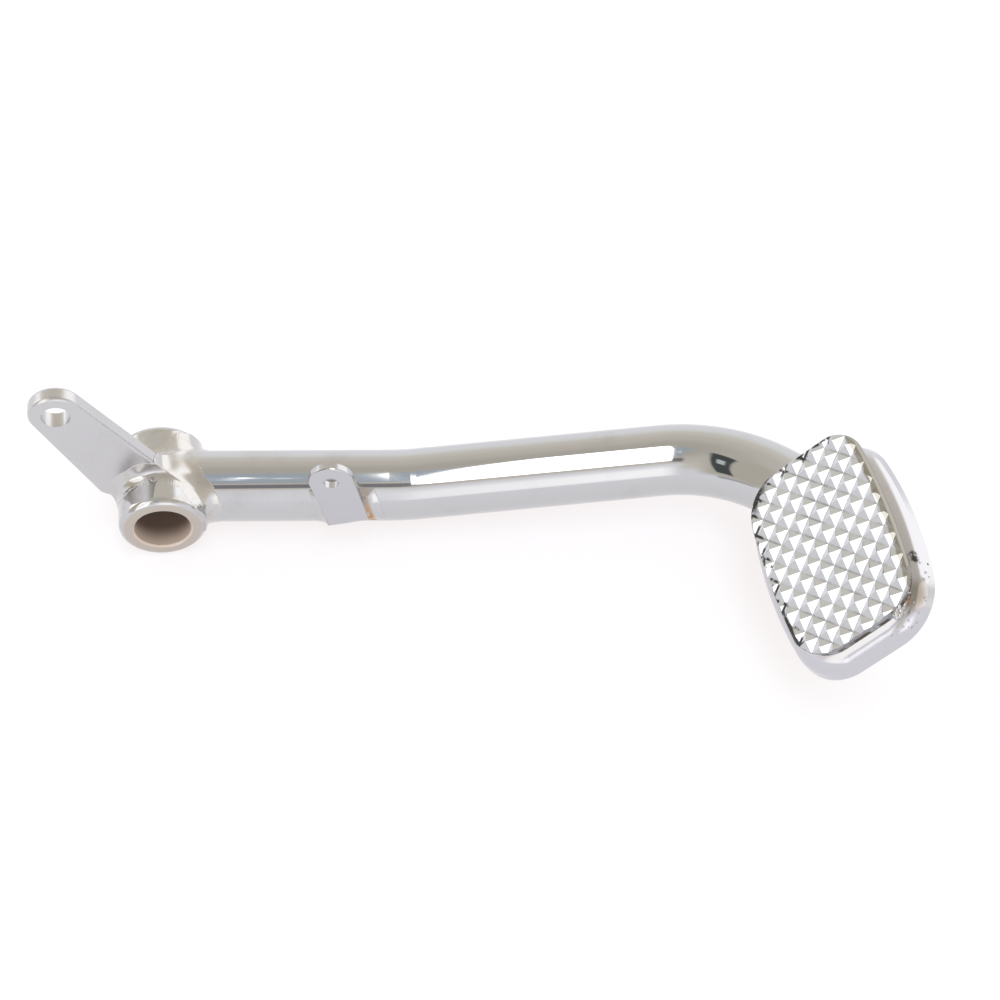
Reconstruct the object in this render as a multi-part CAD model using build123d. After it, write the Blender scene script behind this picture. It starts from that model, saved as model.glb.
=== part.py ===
from build123d import *
import math
import os

# Rear brake pedal of a small motorbike, welded from steel and chrome plated.
# Origin: middle of the pivot bore. +Y runs along the bore, inboard. +X is forward, +Z is up.
# All sizes are in millimetres and degrees.

# Pivot boss
boss_od = 23.0
boss_length = 26.5
boss_round = 2.0
bore_d = 15.0
bore_chamfer = 0.5

# Lever tube: three straight runs joined by two bends
tube_od = 19.0
tube_wall = 2.0
tube_inboard_offset = 1.2
run_1 = 64.7
run_1_heading = -5.6
bend_1_radius = 80.0
run_2 = 102.6
run_2_heading = -1.4
run_2_pitch = 3.0
bend_2_radius = 41.0
run_3 = 60.2
run_3_heading = -81.2
run_3_pitch = 9.7

# Weld between tube and boss
boss_weld_radius = 3.5

# Brake rod arm: a flat stamping that points up and back
arm_angle = 121.8
arm_reach = 43.7
arm_thickness = 4.5
arm_front = 3.0
arm_tip_radius = 7.1
arm_hole_d = 7.5
arm_heel_out = 12.1
arm_heel_width = 10.9
arm_wrap_out = 8.5
arm_wrap_width = 9.4
arm_toe_out = 8.5
arm_toe_width = 8.0
arm_round = 1.1
arm_weld_leg = 3.2
arm_weld_hollow = 1.1
arm_weld_heel = 8.7

# Tab for the brake light switch, lapped on the outboard side of the tube
tab_station = 50.0
tab_lean = 12.8
tab_thickness = 2.0
tab_tip_radius = 5.9
tab_foot_width = 10.8
tab_foot_drop = 1.3
tab_hole_height = 16.2
tab_hole_d = 4.0
tab_round = 0.5
tab_weld_top = 6.4
tab_weld_depth = 4.0
tab_weld_rise = 1.4
tab_weld_front = 1.6
tab_weld_rear = 0.6

# Pad: a pressed shell on the end of the tube, with the tread plate laid on it
pad_roll = 42.4
pad_tilt = 7.6
pad_skew = -8.0
pad_past_tube = -10.8
pad_side_offset = 1.9
shell_half_length = 28.2
shell_half_width = 16.55
shell_bulge = 4.2
shell_corner = 13.2
shell_shift_out = 2.1
shell_shift_side = -0.6
shell_wall = 2.0
shell_depth = 5.9
shell_flare = 1.4
shell_rim_round = 5.0
notch_clearance = 0.1
pad_seat_gap = 0.2
pad_weld_length = 14.0
pad_weld_start = 0.8
pad_weld_width = 6.2
pad_weld_foot = 5.2
pad_weld_drop = 3.6

# Tread plate and its rows of pyramids
tread_half_length = 27.35
tread_shift_out = -0.25
tread_half_width = 16.8
tread_bulge = 2.0
tread_corner = 11.8
tread_tight_corner = 8.5
tread_base = 1.8
tread_roll = 2.4
pyramid_pitch = 4.5
pyramid_height = 1.0
pyramid_flat = 0.3
pyramid_row_angle = 39.7
pyramid_row_shift = 0.5
tack_radius = 1.7
tack_angle = 18.0

boss_r = boss_od / 2
tube_r = tube_od / 2
PIVOT = Axis((0, 0, 0), (0, -1, 0))

# How near two measures count as the same, and how flat an edge lies in the arm's plane
match = 1e-4
flat_slope = 0.1


def heading_vector(heading, pitch):
    flat = math.cos(math.radians(pitch))
    return Vector(
        flat * math.cos(math.radians(heading)),
        flat * math.sin(math.radians(heading)),
        math.sin(math.radians(pitch)),
    )


# Corners of the tube's centre line
dir_1 = heading_vector(run_1_heading, 0)
dir_2 = heading_vector(run_2_heading, run_2_pitch)
dir_3 = heading_vector(run_3_heading, run_3_pitch)
tube_start = Vector(0, tube_inboard_offset, 0)
corner_1 = tube_start + dir_1 * run_1
corner_2 = corner_1 + dir_2 * run_2
tube_end = corner_2 + dir_3 * run_3

# Crown of the tube at its end, where the shell sits. The pad rolls about the tube and tips back.
upright = (Vector(0, 0, 1) - dir_3 * dir_3.Z).normalized()
crown = upright.rotate(Axis((0, 0, 0), tuple(dir_3)), pad_roll)
tilt = math.radians(pad_tilt)
pad_normal = crown * math.cos(tilt) + dir_3 * math.sin(tilt)
pad_forward = dir_3 * math.cos(tilt) - crown * math.sin(tilt)

# Pad frame: x along the pad, outboard, z out of the tread. Its origin is level with the
# valleys of the tread. The seat frame is the underside of the shell, over the tube's end.
seat_plane = Plane(tube_end + crown * tube_r + pad_normal * pad_seat_gap, x_dir=pad_forward, z_dir=pad_normal)
shell_top = -tread_base
pad_plane = Plane(
    seat_plane.location
    * Rot(0, 0, pad_skew)
    * Pos(pad_past_tube, pad_side_offset, shell_wall + tread_base)
)
pad_centre = pad_plane.origin

# Side frame on run 1: x along the tube, y up, z outboard
outboard = Vector(dir_1.Y, -dir_1.X, 0)
side_plane = Plane(tube_start + outboard * tube_r, x_dir=dir_1, z_dir=outboard)
# Section frame on run 1: x outboard, y up, z back along the tube
section_plane = Plane(tube_start, x_dir=outboard, z_dir=-dir_1)


def pad_outline(half_length, half_width, bulge, corner, front_corner):
    """Rounded rectangle whose two long sides bow outward. Its inboard front corner has its own radius."""
    with BuildSketch() as outline:
        with BuildLine():
            far = (-half_length, half_width)
            near = (half_length, half_width)
            ThreePointArc(far, (0, half_width + bulge), near)
            Line(near, (half_length, -half_width))
            ThreePointArc((half_length, -half_width), (0, -half_width - bulge), (-half_length, -half_width))
            Line((-half_length, -half_width), far)
        make_face()
        fillet(outline.vertices().sort_by(lambda v: v.Y - v.X)[:-1], corner)
        fillet(outline.vertices().sort_by(lambda v: v.Y - v.X)[-1], front_corner)
    return outline.sketch


def tube_sweep(radius):
    path = FilletPolyline(
        tube_start, corner_1, corner_2, tube_end, radius=(bend_1_radius, bend_2_radius)
    )
    section = Plane(path @ 0, z_dir=path % 0) * Circle(radius)
    return sweep(section, path=path)


def boss_cylinder(radius):
    return Rot(90, 0, 0) * Cylinder(radius, boss_length)


def make_pivot_boss():
    boss = boss_cylinder(boss_r)
    boss = fillet(boss.edges().filter_by(GeomType.CIRCLE), boss_round)
    boss -= boss_cylinder(bore_d / 2)
    mouth = boss.edges().filter_by(
        lambda e: e.geom_type == GeomType.CIRCLE and abs(e.radius - bore_d / 2) < match
    )
    return chamfer(mouth, bore_chamfer)


def make_lever_tube(solid_tube, boss_blank):
    return solid_tube - tube_sweep(tube_r - tube_wall) - boss_blank


def pivot_distance(point):
    return math.hypot(point.X, point.Z)


def make_boss_weld(solid_tube, boss_blank):
    """Fillet weld that runs round the tube where it meets the boss."""
    joined = boss_blank + solid_tube
    seam = joined.edges().filter_by(
        lambda e: e.geom_type != GeomType.LINE
        and abs(pivot_distance(e @ 0.5) - boss_r) < match
        and abs((e @ 0.5).Y) < boss_length / 2 - match
    )
    return fillet(seam, boss_weld_radius) - boss_blank - solid_tube


arm_plane = Plane(
    (0, -arm_front, 0),
    x_dir=(math.cos(math.radians(arm_angle)), 0, math.sin(math.radians(arm_angle))),
    z_dir=(0, -1, 0),
)


def make_brake_rod_arm(boss_blank):
    """Flat arm, hulled from a round end to a wide heel that fits round the boss."""
    heel = (arm_heel_out, arm_heel_width)
    wrap = (arm_wrap_out, arm_wrap_width)
    toe = (arm_toe_out, -arm_toe_width)
    with BuildSketch() as blank:
        with BuildLine():
            CenterArc((arm_reach, 0), arm_tip_radius, 0, 360)
            Polyline(heel, wrap, (0, 0), toe)
        make_hull()
    arm = arm_plane * extrude(blank.sketch, -arm_thickness)
    arm -= boss_blank
    outer = arm.edges().filter_by(
        lambda e: abs(e.tangent_at(0.5).Y) < flat_slope and pivot_distance(e @ 0.5) > boss_r + arm_round
    )
    arm = fillet(outer, arm_round)
    return arm - arm_plane * Pos(arm_reach, 0, 0) * Cylinder(arm_hole_d / 2, 4 * arm_thickness)


def make_arm_weld(face_y, side):
    """Concave fillet along the boss, on one face of the arm."""
    leg = arm_weld_leg
    hollow = arm_weld_hollow
    with BuildSketch(Plane.XY) as bead:
        with BuildLine():
            root = (boss_r, face_y)
            on_arm = (boss_r + leg, face_y)
            on_boss = (boss_r, face_y + side * leg)
            Line(root, on_arm)
            ThreePointArc(on_arm, (boss_r + hollow, face_y + side * hollow), on_boss)
            Line(on_boss, root)
        make_face()
    first = arm_angle - math.degrees(math.asin(arm_toe_width / (boss_r + leg)))
    last = arm_angle + math.degrees(math.asin(arm_weld_heel / (boss_r + leg)))
    ring = revolve(bead.sketch, axis=PIVOT, revolution_arc=last - first)
    return ring.rotate(PIVOT, first)


tab_frame = side_plane.location * Pos(tab_station, 0, 0) * Rot(0, 0, tab_lean)


def make_switch_tab():
    """Flat tab with a round top, leaning back against the side of the tube."""
    half = tab_foot_width / 2
    with BuildSketch() as blank:
        with BuildLine():
            CenterArc((0, tab_hole_height), tab_tip_radius, 0, 360)
            Polyline((-half, -tab_foot_drop), (half, -tab_foot_drop))
        make_hull()
    tab = extrude(blank.sketch, tab_thickness)
    front = tab.faces().sort_by(Axis.Z)[-1]
    tab = fillet(front.edges(), tab_round)
    tab -= Pos(0, tab_hole_height, 0) * Cylinder(tab_hole_d / 2, 4 * tab_thickness)
    return tab_frame * tab


def make_tab_weld(solid_tube, tab):
    """Fill between the flat of the tab and the round of the tube, sloped up to the tab's edges."""
    left = -tab_foot_width / 2 - tab_weld_rear
    right = tab_foot_width / 2 + tab_weld_front
    outline = make_face(
        Polyline((left, 0), (right, 0), (right, tab_weld_top), (left, tab_weld_top), close=True)
    )
    slope = math.degrees(math.atan2(tab_weld_front, tab_weld_rise))
    bead = extrude(outline, -tab_weld_depth) + extrude(outline, tab_weld_rise, taper=slope)
    return tab_frame * bead - solid_tube - tab


def shell_loft(top, bottom, inset):
    """Flared body between two heights of the pad frame, inset from the outer skin."""

    def section(height):
        grow = shell_flare * (shell_top - height) / shell_depth - inset
        corner = shell_corner + grow
        shape = pad_outline(
            shell_half_length + grow, shell_half_width + grow, shell_bulge, corner, corner
        )
        return pad_plane * Pos(shell_shift_out, shell_shift_side, height) * shape

    return loft([section(top), section(bottom)], ruled=True)


def make_pad_shell():
    """Pressed cup: flared skirt, rounded rim, open below, notched over the tube."""
    bottom = shell_top - shell_depth
    cup = shell_loft(shell_top, bottom, 0)
    rim = cup.faces().sort_by(Axis(pad_centre, pad_normal))[-1]
    cup = fillet(rim.edges(), shell_rim_round)
    hollow = shell_loft(shell_top - shell_wall, bottom - shell_wall, shell_wall)
    roof = hollow.faces().sort_by(Axis(pad_centre, pad_normal))[-1]
    cup -= fillet(roof.edges(), shell_rim_round - shell_wall)
    return cup - tube_sweep(tube_r + notch_clearance)


def make_pad_weld(side, solid_tube):
    """Bead along one side of the tube's end, between its crown and the underside of the shell."""
    inner = pad_weld_start * side
    foot = pad_weld_foot * side
    outer = pad_weld_width * side
    with BuildSketch() as bead:
        with BuildLine():
            Polyline(
                (inner, 0),
                (outer, 0),
                (foot, pad_weld_drop),
                (inner, pad_weld_drop),
                close=True,
            )
        make_face()
    frame = Plane(seat_plane.origin, x_dir=seat_plane.y_dir, z_dir=-seat_plane.x_dir)
    return frame * extrude(bead.sketch, pad_weld_length) - solid_tube


def tread_outline(more):
    """Outline of the tread, with its outboard end moved out."""
    shape = pad_outline(
        tread_half_length + more / 2, tread_half_width, tread_bulge, tread_corner, tread_tight_corner
    )
    return Pos(tread_shift_out + more / 2, 0, 0) * shape


def make_rolled_blank():
    """Block whose round shoulder trims the long sides and the inboard end, as the punch leaves them."""
    depth = tread_base + pyramid_height + tread_roll
    block = extrude(Pos(0, 0, pyramid_height - depth) * tread_outline(tread_roll), depth)
    return fillet(block.faces().sort_by(Axis.Z)[-1].edges(), tread_roll)


def make_tread_plate():
    """Coined plate: two crossing sets of V grooves leave rows of pyramids."""
    plate = extrude(Pos(0, 0, -tread_base) * tread_outline(0), tread_base + pyramid_height)
    plate &= make_rolled_blank()
    reach = tread_half_length + tread_half_width + tread_bulge
    top = 2 * pyramid_height
    half_mouth = (pyramid_pitch - pyramid_flat) / 2 * top / pyramid_height
    groove = extrude(
        Plane.XZ * make_face(Polyline((0, 0), (half_mouth, top), (-half_mouth, top), close=True)),
        reach,
        both=True,
    )
    rows = math.ceil(reach / pyramid_pitch)
    grooves = [
        Pos(0, pyramid_row_shift, 0) * Rot(0, 0, turn) * Pos(row * pyramid_pitch, 0, 0) * groove
        for turn in (pyramid_row_angle, pyramid_row_angle - 90)
        for row in range(-rows, rows + 1)
    ]
    return pad_plane * (plate - grooves)


def make_tread_tack(shell):
    """Tack weld in the corner between the edge of the tread and the shell's round rim."""
    outline = tread_outline(0)
    arcs = outline.edges().filter_by(GeomType.CIRCLE)
    bends = arcs.filter_by(lambda e: abs(e.radius - tread_corner) < match)
    bend = bends.sort_by(lambda e: (e @ 0.5).X + (e @ 0.5).Y)[-1]
    spot = bend.arc_center + Vector(tread_corner, 0, 0).rotate(Axis.Z, tack_angle)
    blob = pad_plane * Pos(spot.X, spot.Y, shell_top) * Sphere(tack_radius)
    block = extrude(Pos(0, 0, shell_top) * outline, tread_base + pyramid_height)
    return blob - pad_plane * block - shell


solid_tube = tube_sweep(tube_r)
boss_blank = boss_cylinder(boss_r)
pivot_boss = make_pivot_boss()
switch_tab = make_switch_tab()
pad_shell = make_pad_shell()
tread_plate = make_tread_plate()

nodes = {
    "pivot_boss": pivot_boss,
    "lever_tube": make_lever_tube(solid_tube, boss_blank),
    "boss_weld": make_boss_weld(solid_tube, boss_blank),
    "brake_rod_arm": make_brake_rod_arm(boss_blank),
    "arm_weld_front": make_arm_weld(-arm_front, -1),
    "arm_weld_back": make_arm_weld(arm_thickness - arm_front, 1),
    "switch_tab": switch_tab,
    "tab_weld": make_tab_weld(solid_tube, switch_tab),
    "pad_shell": pad_shell,
    "pad_weld_front": make_pad_weld(1, solid_tube),
    "pad_weld_rear": make_pad_weld(-1, solid_tube),
    "tread_plate": tread_plate,
    "tread_tack": make_tread_tack(pad_shell),
}

os.makedirs("parts", exist_ok=True)
for name, shape in nodes.items():
    export_step(shape, f"parts/{name}.step")
    print(f"{name}: {shape.volume:.1f} mm3")
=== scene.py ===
# %% [markdown]
# Rear brake pedal, dressed for a studio picture.
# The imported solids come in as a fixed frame, in metres. The pivot bore lies along Y with the
# viewer on the -Y side, X runs forward along the lever and Z is up. Everything below hangs on that frame.

# %% Load the frame
import math
from functools import partial

import bmesh
import bpy
from mathutils import Matrix, Vector


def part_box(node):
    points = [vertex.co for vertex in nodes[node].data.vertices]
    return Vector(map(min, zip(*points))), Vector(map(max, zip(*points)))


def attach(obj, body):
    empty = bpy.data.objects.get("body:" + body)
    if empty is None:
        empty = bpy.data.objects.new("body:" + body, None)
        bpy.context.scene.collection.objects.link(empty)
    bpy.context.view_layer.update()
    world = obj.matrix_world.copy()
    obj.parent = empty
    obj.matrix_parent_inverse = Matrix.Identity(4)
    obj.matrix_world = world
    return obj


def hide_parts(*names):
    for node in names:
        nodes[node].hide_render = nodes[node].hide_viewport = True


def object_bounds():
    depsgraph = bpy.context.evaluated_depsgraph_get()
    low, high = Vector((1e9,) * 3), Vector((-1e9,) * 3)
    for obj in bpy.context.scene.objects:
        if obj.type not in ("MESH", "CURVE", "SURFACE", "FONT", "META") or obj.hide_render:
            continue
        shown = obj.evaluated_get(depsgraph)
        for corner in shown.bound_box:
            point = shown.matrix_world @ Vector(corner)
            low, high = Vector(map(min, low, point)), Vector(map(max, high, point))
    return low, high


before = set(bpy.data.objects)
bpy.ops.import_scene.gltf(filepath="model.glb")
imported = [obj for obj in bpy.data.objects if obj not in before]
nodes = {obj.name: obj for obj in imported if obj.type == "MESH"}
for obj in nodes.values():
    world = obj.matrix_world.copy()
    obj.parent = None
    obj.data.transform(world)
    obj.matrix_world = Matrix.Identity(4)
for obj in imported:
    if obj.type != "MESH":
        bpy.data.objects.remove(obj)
cad_low, cad_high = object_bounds()
MM = 0.001
print("frame:", len(nodes), "nodes,", [round(x / MM, 1) for x in cad_high - cad_low], "mm")

# %% [markdown]
# Colours in the picture come out as they are lit, so the plain display transform is used. The filmic
# one would turn the white table grey.

# %% Display
display = bpy.context.scene.view_settings
display.view_transform = "Standard"
print("display:", display.view_transform)

# %% [markdown]
# The picture is taken from close above with a long lens, looking down at a bit more than half a right
# angle. A camera is a place, a direction and a lens, so those three are written here.

# %% Camera
CAMERA_PLACE = Vector((45.6, -428.8, 549.1)) * MM
CAMERA_AIM = Vector((0.0633, 0.6027, -0.7955))
CAMERA_RIGHT = Vector((0.9945, -0.1045, 0.0))
LENS = 93.6


def make_camera():
    data = bpy.data.cameras.new("camera")
    data.lens = LENS
    data.sensor_width = 36.0
    data.clip_start = 0.01
    camera = bpy.data.objects.new("camera", data)
    back = -CAMERA_AIM.normalized()
    right = (CAMERA_RIGHT - back * CAMERA_RIGHT.dot(back)).normalized()
    turn = Matrix((right, back.cross(right), back)).transposed()
    camera.matrix_world = Matrix.Translation(CAMERA_PLACE) @ turn.to_4x4()
    bpy.context.scene.collection.objects.link(camera)
    bpy.context.scene.camera = camera
    return camera


camera = make_camera()
print("camera:", [round(x / MM) for x in camera.location], "mm, lens", LENS)

# %% [markdown]
# Chrome has next to no colour of its own: it shows the room. So the room is made with care, as a world
# shader, and the pedal stands in the middle of it. Low down all round is a white sweep, and higher up
# a beige wall. Sheets of light are laid over that. Each sheet is placed as seen from the pedal, by a
# turn about the lever (0 is level towards the viewer, 90 straight up, 180 level behind) and by an
# angle to the right, which a leaning sheet changes with its turn. All angles are in degrees. Soft edges
# keep the reflections from looking cut out with scissors.

# %% Room
WALL_STEPS = (
    (-1.0, (1.00, 0.99, 1.02)),
    (0.02, (1.12, 1.11, 1.13)),
    (0.24, (1.06, 1.05, 1.01)),
    (0.52, (0.92, 0.87, 0.77)),
    (0.78, (0.82, 0.76, 0.66)),
    (1.0, (0.66, 0.62, 0.54)),
)
SHEETS = (
    # name, turn, right, lean, half height, half width, soft edge, colour
    ("front_paper", 4, 10, 0, 12, 52, 5, (1.06, 1.05, 1.09)),
    ("front_paper_high", 21, 18, 0, 20, 31, 5, (1.10, 1.09, 1.12)),
    ("front_window", 15, 9, 0, 15, 14, 8, (1.62, 1.60, 1.58)),
    ("grey_screen", 77.5, -6.9, 0, 15.5, 3.4, 1.2, (0.56, 0.61, 0.66)),
    ("dark_strip", 52, -8.5, 0, 6, 3.8, 1.5, (0.30, 0.29, 0.30)),
    ("left_wall", 62, -54, 0, 52, 26, 10, (0.70, 0.65, 0.55)),
    ("dark_frame", 55, -36.5, 0.32, 32, 7, 1.5, (0.10, 0.11, 0.11)),
    ("frame_pane", 64, -33.6, 0.32, 7, 2.8, 1.2, (0.72, 0.78, 0.74)),
    ("left_window", 140, -58, 0, 22, 15, 6, (2.1, 2.1, 2.1)),
    ("right_window", 150, 52, 0, 45, 22, 5, (1.60, 1.59, 1.55)),
    ("left_skirting", 2, -57, 0, 9, 16, 3, (0.60, 0.59, 0.58)),
    ("lamp_dot", 79, -7.36, 0.1, 2.4, 0.11, 0.07, (4.0, 4.0, 4.0)),
    ("lamp_dot_mid", 77, -6.65, 0.1, 2.2, 0.13, 0.10, (1.5, 1.6, 1.7)),
    ("lamp_dot_low", 74, -8.1, 0.1, 2.4, 0.13, 0.10, (1.7, 1.8, 1.9)),
)


def room_direction(turn, right):
    """Unit vector to a place in the room."""
    t = math.radians(turn)
    r = math.radians(right)
    return Vector((math.sin(r), -math.cos(t) * math.cos(r), math.sin(t) * math.cos(r)))


def put(tree, kind, inputs=None, **options):
    """Add a node, set its options, then fill its inputs with links or plain values."""
    node = tree.nodes.new(kind)
    for name, value in options.items():
        setattr(node, name, value)
    for key, value in (inputs or {}).items():
        socket = node.inputs[key] if isinstance(key, int) else next(
            s for s in node.inputs if s.name == key and s.enabled
        )
        if isinstance(value, bpy.types.NodeSocket):
            tree.links.new(value, socket)
        else:
            socket.default_value = value
    return node


def vector_node(tree, operation, first, second=None, output=0):
    inputs = {0: first} if second is None else {0: first, 1: second}
    return put(tree, "ShaderNodeVectorMath", inputs, operation=operation).outputs[output]


def dot_node(tree, link, axis):
    return vector_node(tree, "DOT_PRODUCT", link, axis, "Value")


def fade_node(tree, link, start, end, first, last):
    """Smooth step from first to last as the linked value goes from start to end."""
    limits = {"From Min": start, "From Max": end, "To Min": first, "To Max": last}
    node = put(tree, "ShaderNodeMapRange", {"Value": link, **limits}, interpolation_type="SMOOTHSTEP")
    return node.outputs["Result"]


def math_node(tree, operation, *values):
    return put(tree, "ShaderNodeMath", dict(enumerate(values)), operation=operation).outputs[0]


def mix_node(tree, factor, first, second):
    """Colour mix; each colour is a link or three plain numbers."""
    colours = [(*c, 1) if isinstance(c, tuple) else c for c in (first, second)]
    inputs = {"Factor": factor, "A": colours[0], "B": colours[1]}
    return next(s for s in put(tree, "ShaderNodeMix", inputs, data_type="RGBA").outputs if s.enabled)


def lay_sheet(tree, seen_turn, seen_right, under, turn, right, lean, half_high, half_wide, soft, colour):
    up = math_node(tree, "SUBTRACT", seen_turn, turn)
    leant = math_node(tree, "MULTIPLY_ADD", up, lean, right)
    across = math_node(tree, "SUBTRACT", seen_right, leant)
    mask = 1.0
    for offset, half in ((up, half_high), (across, half_wide)):
        away = math_node(tree, "ABSOLUTE", offset)
        mask = math_node(tree, "MULTIPLY", mask, fade_node(tree, away, half - soft, half + soft, 1.0, 0.0))
    return mix_node(tree, mask, under, colour)


def make_room():
    world = bpy.data.worlds.new("room")
    bpy.context.scene.world = world
    world.use_nodes = True
    tree = world.node_tree
    tree.nodes.clear()
    direction = tree.nodes.new("ShaderNodeTexCoord").outputs["Generated"]
    height = dot_node(tree, direction, (0, 0, 1))
    to_right = dot_node(tree, direction, (1, 0, 0))
    to_viewer = dot_node(tree, direction, (0, -1, 0))
    seen_right = math_node(tree, "DEGREES", math_node(tree, "ARCSINE", to_right))
    turned = math_node(tree, "DEGREES", math_node(tree, "ARCTAN2", height, to_viewer))
    seen_turn = math_node(tree, "WRAP", turned, 270.0, -90.0)
    seen = WALL_STEPS[0][1]
    for (low, _), (high, colour) in zip(WALL_STEPS, WALL_STEPS[1:]):
        seen = mix_node(tree, fade_node(tree, height, low, high, 0.0, 1.0), seen, colour)
    for _, *sheet in SHEETS:
        seen = lay_sheet(tree, seen_turn, seen_right, seen, *sheet)
    glow = tree.nodes.new("ShaderNodeBackground")
    tree.links.new(seen, glow.inputs["Color"])
    out = tree.nodes.new("ShaderNodeOutputWorld")
    tree.links.new(glow.outputs[0], out.inputs["Surface"])


make_room()
print("room:", len(SHEETS), "sheets of light")

# %% [markdown]
# The table is one large pale sheet under the lowest point of the pedal. A table under bright lamps
# burns out to white with only a faint shadow, so part of its light is its own glow.

# %% Table
TABLE_HALF = 3.0
TABLE_GAP = 0.02 * MM
TABLE_PAINT = (0.26, 0.33, 0.40)
TABLE_GLOW = (0.765, 0.69, 0.655)


def make_table():
    mesh = bpy.data.meshes.new("table")
    height = cad_low.z - TABLE_GAP
    corners = [(x * TABLE_HALF, y * TABLE_HALF, height) for x, y in ((-1, -1), (1, -1), (1, 1), (-1, 1))]
    mesh.from_pydata(corners, [], [(0, 1, 2, 3)])
    table = bpy.data.objects.new("table", mesh)
    bpy.context.scene.collection.objects.link(table)
    paint = bpy.data.materials.new("table_white")
    paint.use_nodes = True
    shader = paint.node_tree.nodes["Principled BSDF"]
    shader.inputs["Base Color"].default_value = (*TABLE_PAINT, 1)
    shader.inputs["Roughness"].default_value = 1.0
    shader.inputs["Specular IOR Level"].default_value = 0.0
    shader.inputs["Emission Color"].default_value = (*TABLE_GLOW, 1)
    shader.inputs["Emission Strength"].default_value = 1.0
    mesh.materials.append(paint)
    return table


table = make_table()
print("table:", [round(x, 2) for x in table.dimensions], "m")

# %% [markdown]
# The pedal's own frames. The pad has one, whose height starts at the bottom of the tread's grooves, and
# the switch tab has one on the side of the tube. With these, a place on a piece can be given in
# millimetres along that piece, as a maker would measure it.

# %% Places on the pedal
PAD_CENTRE = Vector((166.70, -55.68, 27.09)) * MM
PAD_LONG = Vector((0.1387, -0.9901, -0.0226)).normalized()
PAD_NORMAL = Vector((-0.6595, -0.1094, 0.7437)).normalized()
PAD_WIDE = PAD_NORMAL.cross(PAD_LONG)
TUBE_RADIUS = 9.5 * MM
TUBE_HEADING = math.radians(-5.6)
TUBE_START = Vector((0, 1.2, 0)) * MM
TUBE_ALONG = Vector((math.cos(TUBE_HEADING), math.sin(TUBE_HEADING), 0))
TUBE_OUTBOARD = Vector((TUBE_ALONG.y, -TUBE_ALONG.x, 0))
TAB_STATION = 50.0
TAB_LEAN = math.radians(12.8)
TAB_HALF = 5.4
SEAT_IN_PAD = Vector((10.8, -1.9, -3.8))
SEAT_SKEW = math.radians(8.0)


def pad_point(x, y, z):
    return PAD_CENTRE + (PAD_LONG * x + PAD_WIDE * y + PAD_NORMAL * z) * MM


def seat_point(x, y, z):
    """Under the shell, over the end of the tube; x runs outboard along the tube."""
    turned = Matrix.Rotation(SEAT_SKEW, 3, "Z") @ Vector((x, y, z))
    return pad_point(*(turned + SEAT_IN_PAD))


def tab_point(x, y, z):
    along = TAB_STATION + x * math.cos(TAB_LEAN) - y * math.sin(TAB_LEAN)
    up = x * math.sin(TAB_LEAN) + y * math.cos(TAB_LEAN)
    foot = TUBE_START + TUBE_OUTBOARD * TUBE_RADIUS
    return foot + (TUBE_ALONG * along + Vector((0, 0, up)) + TUBE_OUTBOARD * z) * MM


print("pad centre:", [round(x / MM, 1) for x in PAD_CENTRE], "mm")
print("tab foot:", [round(x / MM, 1) for x in tab_point(0, 0, 0)], "mm")

# %% [markdown]
# Wear is the same few things on every piece: a film of fingers and polish that dulls the shine, pits
# where the plating has let go, rust, and the soft waves that a polishing wheel leaves. Each is a node
# group, built once, and each material places it with its own values.

# %% Wear groups


def shader_group(name, inputs, outputs):
    group = bpy.data.node_groups.new(name, "ShaderNodeTree")
    for label, kind, default in inputs:
        socket = group.interface.new_socket(label, in_out="INPUT", socket_type=kind)
        if default is not None:
            socket.default_value = default
    for label, kind in outputs:
        group.interface.new_socket(label, in_out="OUTPUT", socket_type=kind)
    return group, group.nodes.new("NodeGroupInput").outputs, group.nodes.new("NodeGroupOutput").inputs


VALUE = "NodeSocketFloat"
PLACE = "NodeSocketVector"
COLOUR = "NodeSocketColor"


def noise(tree, place, scale, detail=3.0, rough=0.55):
    return put(
        tree, "ShaderNodeTexNoise", {"Vector": place, "Scale": scale, "Detail": detail, "Roughness": rough}
    ).outputs["Fac"]


def make_hand_film():
    group, given, result = shader_group(
        "hand_film",
        [("Place", PLACE, None), ("Patches", VALUE, 60.0), ("Start", VALUE, 0.48), ("Full", VALUE, 0.72)],
        [("Film", VALUE)],
    )
    patches = noise(group, given["Place"], given["Patches"], 5.0, 0.62)
    film = fade_node(group, patches, given["Start"], given["Full"], 0.0, 1.0)
    group.links.new(film, result["Film"])
    return group


def make_plating_pits():
    group, given, result = shader_group(
        "plating_pits",
        [("Place", PLACE, None), ("Cells", VALUE, 400.0), ("Share", VALUE, 0.1), ("Size", VALUE, 0.25)],
        [("Pit", VALUE)],
    )
    cells = put(group, "ShaderNodeTexVoronoi", {"Vector": given["Place"], "Scale": given["Cells"]})
    pick = put(group, "ShaderNodeSeparateColor", {"Color": cells.outputs["Color"]})
    held = math_node(group, "LESS_THAN", pick.outputs["Red"], given["Share"])
    own_size = math_node(group, "MULTIPLY", given["Size"], pick.outputs["Green"])
    inside = math_node(group, "LESS_THAN", cells.outputs["Distance"], own_size)
    group.links.new(math_node(group, "MULTIPLY", held, inside), result["Pit"])
    return group


RUST_DARK = (0.10, 0.045, 0.022)
RUST_ORANGE = (0.48, 0.23, 0.085)


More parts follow.
